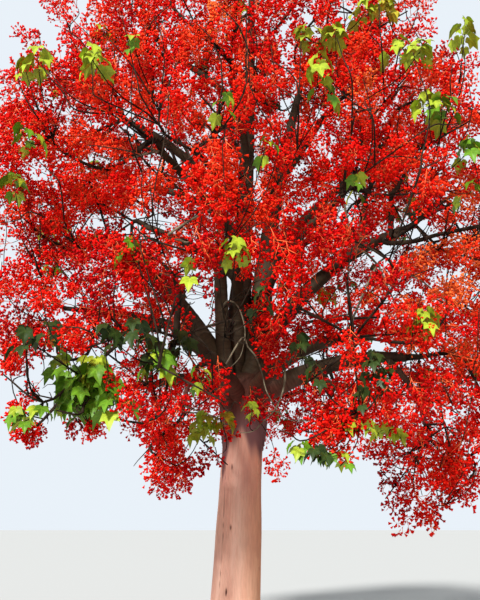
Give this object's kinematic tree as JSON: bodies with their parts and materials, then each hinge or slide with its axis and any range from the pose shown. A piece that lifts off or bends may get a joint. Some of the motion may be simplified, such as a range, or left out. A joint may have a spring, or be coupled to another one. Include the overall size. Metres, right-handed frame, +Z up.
{
  "type": "flame tree",
  "caption": "Whole flame tree in full red bloom: a smooth leaning trunk with a root flare, boughs, and open masses of blossom with a few lobed leaves.",
  "frame": {"origin": "middle of the flat cut under the trunk, at ground level", "axes": "+Z up the trunk, +X to the right and +Y away from the viewer of the picture"},
  "size_m": [5.6698, 5.5787, 9.2537],
  "materials": {
    "bark": "smooth pinkish brown bark with fine upright grain",
    "bough_bark": "dark brown bark in the crown's shade",
    "blossom": "satin scarlet bells in loose sprays",
    "leaves": "glossy green lobed leaves"
  },
  "bodies": {
    "root": {"back_bough": "bough_bark", "back_high_bough": "bough_bark", "back_high_mass": "blossom", "back_left_bough": "bough_bark", "back_left_low_bough": "bough_bark", "back_left_low_mass": "blossom", "back_left_mass": "blossom", "back_mass": "blossom", "back_right_bough": "bough_bark", "back_right_low_bough": "bough_bark", "back_right_low_mass": "blossom", "back_right_mass": "blossom", "back_top_bough": "bough_bark", "back_top_mass": "blossom", "crown_top_mass": "blossom", "front_bough": "bough_bark", "front_high_bough": "bough_bark", "front_high_mass": "blossom", "front_left_bough": "bough_bark", "front_left_low_bough": "bough_bark", "front_left_low_mass": "blossom", "front_left_mass": "blossom", "front_mass": "blossom", "front_right_bough": "bough_bark", "front_right_low_bough": "bough_bark", "front_right_low_mass": "blossom", "front_right_mass": "blossom", "inner_right_bough": "bough_bark", "inner_right_mass": "blossom", "leader": "bough_bark", "leaf_shoot": "bough_bark", "left_bough": "bough_bark", "left_hanging_bough": "bough_bark", "left_hanging_mass": "blossom", "left_high_bough": "bough_bark", "left_high_mass": "blossom", "left_leaves_mass": "leaves", "left_low_bough": "bough_bark", "left_low_mass": "blossom", "left_mid_bough": "bough_bark", "left_mid_mass": "blossom", "left_side_mass": "blossom", "left_stub": "bough_bark", "left_top_bough": "bough_bark", "left_top_mass": "blossom", "right_bough": "bough_bark", "right_fork_bough": "bough_bark", "right_hanging_bough": "bough_bark", "right_hanging_mass": "blossom", "right_high_bough": "bough_bark", "right_high_mass": "blossom", "right_low_bough": "bough_bark", "right_low_mass": "blossom", "right_side_mass": "blossom", "right_stem": "bough_bark", "right_top_mass": "blossom", "right_upper_mass": "blossom", "trunk": "bark"}
  },
  "joints": []
}
